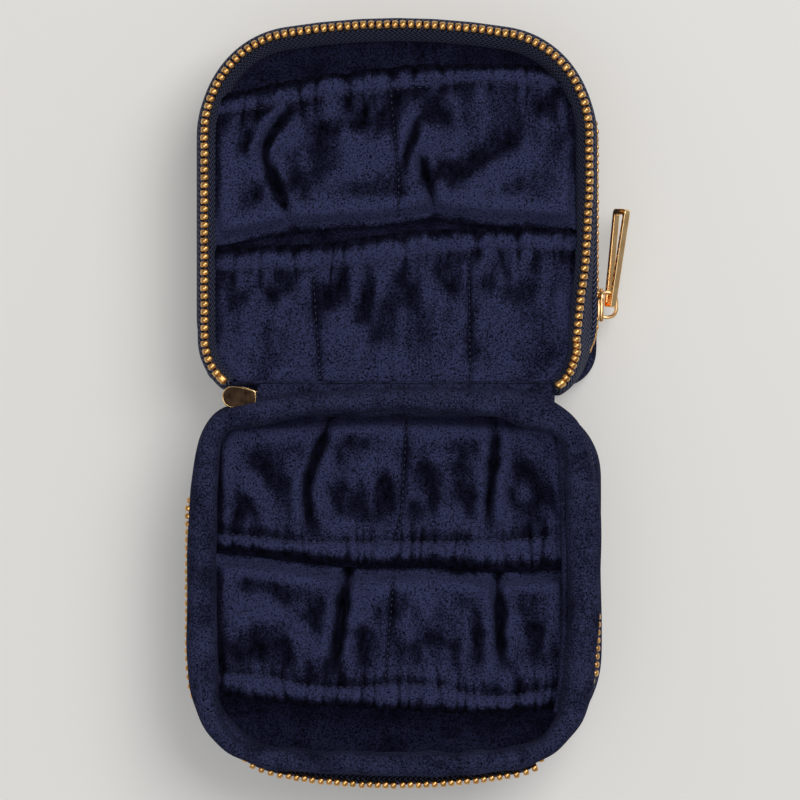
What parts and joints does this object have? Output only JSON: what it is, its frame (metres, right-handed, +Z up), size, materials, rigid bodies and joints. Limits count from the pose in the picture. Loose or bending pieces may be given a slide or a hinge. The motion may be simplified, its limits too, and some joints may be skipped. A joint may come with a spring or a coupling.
{
  "type": "travel jewelry case",
  "caption": "Soft velvet travel jewelry case that opens flat like a book on a zip, with gathered elastic pockets in both halves and a second zipped compartment underneath.",
  "frame": {"origin": "middle of the back cover's underside, on the table", "axes": "+Z up from the table, +Y from the hinge towards the raised half's far side, +X to the right along the hinge"},
  "size_m": [0.1149, 0.1954, 0.03],
  "materials": {
    "velvet": "velvet pile",
    "lining": "velvet pile",
    "board": "grey board",
    "foam": "open-cell foam",
    "zip_tape": "herringbone weave",
    "elastic": "woven elastic",
    "zip_metal": "polished gold plating"
  },
  "bodies": {
    "back_cover": {"back_shell": "velvet", "back_board": "board", "back_lining": "lining", "zip2_lower_tape": "zip_tape", "zip2_lower_teeth": "zip_metal", "zip2_lower_stops": "zip_metal", "back_hinge_strip": "velvet"},
    "middle_tray": {"divider_lining": "lining", "divider_board": "board", "tray_lining": "lining", "zip2_upper_tape": "zip_tape", "zip2_upper_teeth": "zip_metal", "zip2_upper_stops": "zip_metal", "zip1_upper_tape": "zip_tape", "zip1_upper_teeth": "zip_metal", "zip1_upper_stops": "zip_metal", "spine_wall": "velvet", "tray_near_pocket": "lining", "tray_near_elastic": "elastic", "tray_far_pocket": "lining", "tray_far_elastic": "elastic", "front_hinge_strip": "velvet"},
    "front_cover": {"front_shell": "velvet", "front_board": "board", "front_foam": "foam", "front_lining": "lining", "zip1_lower_tape": "zip_tape", "zip1_lower_teeth": "zip_metal", "zip1_lower_stops": "zip_metal", "rim_roll": "velvet", "rim_core": "foam", "cover_near_pocket": "lining", "cover_near_elastic": "elastic", "cover_far_pocket": "lining", "cover_far_elastic": "elastic"},
    "zip1_slider": {"zip1_slider": "zip_metal", "zip1_bail": "zip_metal"},
    "zip1_pull": {"zip1_pull": "zip_metal"},
    "zip2_slider": {"zip2_slider": "zip_metal", "zip2_bail": "zip_metal"},
    "zip2_pull": {"zip2_pull": "zip_metal"}
  },
  "joints": [
    {"name": "back_hinge", "type": "hinge", "parent": "back_cover", "child": "middle_tray", "pos_m": [0, -0.0502, 0], "axis": [1, 0, 0], "range_deg": [0, 120], "deforming": ["back_hinge_strip"]},
    {"name": "front_hinge", "type": "hinge", "parent": "middle_tray", "child": "front_cover", "pos_m": [0, -0.0502, 0.026], "axis": [-1, 0, 0], "range_deg": [0, 180], "deforming": ["front_hinge_strip"]},
    {"name": "zip1_slider_turn", "type": "hinge", "parent": "middle_tray", "child": "zip1_slider", "pos_m": [0, -0.0502, 0.026], "axis": [-1, 0, 0], "range_deg": [0, 90]},
    {"name": "zip1_pull_swing", "type": "hinge", "parent": "zip1_slider", "child": "zip1_pull", "pos_m": [-0.0408, -0.0502, 0.02205], "axis": [0, -1, 0], "range_deg": [0, 35]},
    {"name": "zip2_slider_travel", "type": "slide", "parent": "middle_tray", "child": "zip2_slider", "axis": [0, 1, 0], "range_m": [0, 0.04]},
    {"name": "zip2_pull_swing", "type": "hinge", "parent": "zip2_slider", "child": "zip2_pull", "pos_m": [0.05595, -0.026, 0.009], "axis": [0, 0, -1], "range_deg": [-5, 155]}
  ],
  "couplings": [
    {"joint": "zip1_slider_turn", "follows": "front_hinge", "ratio": 0.5}
  ]
}
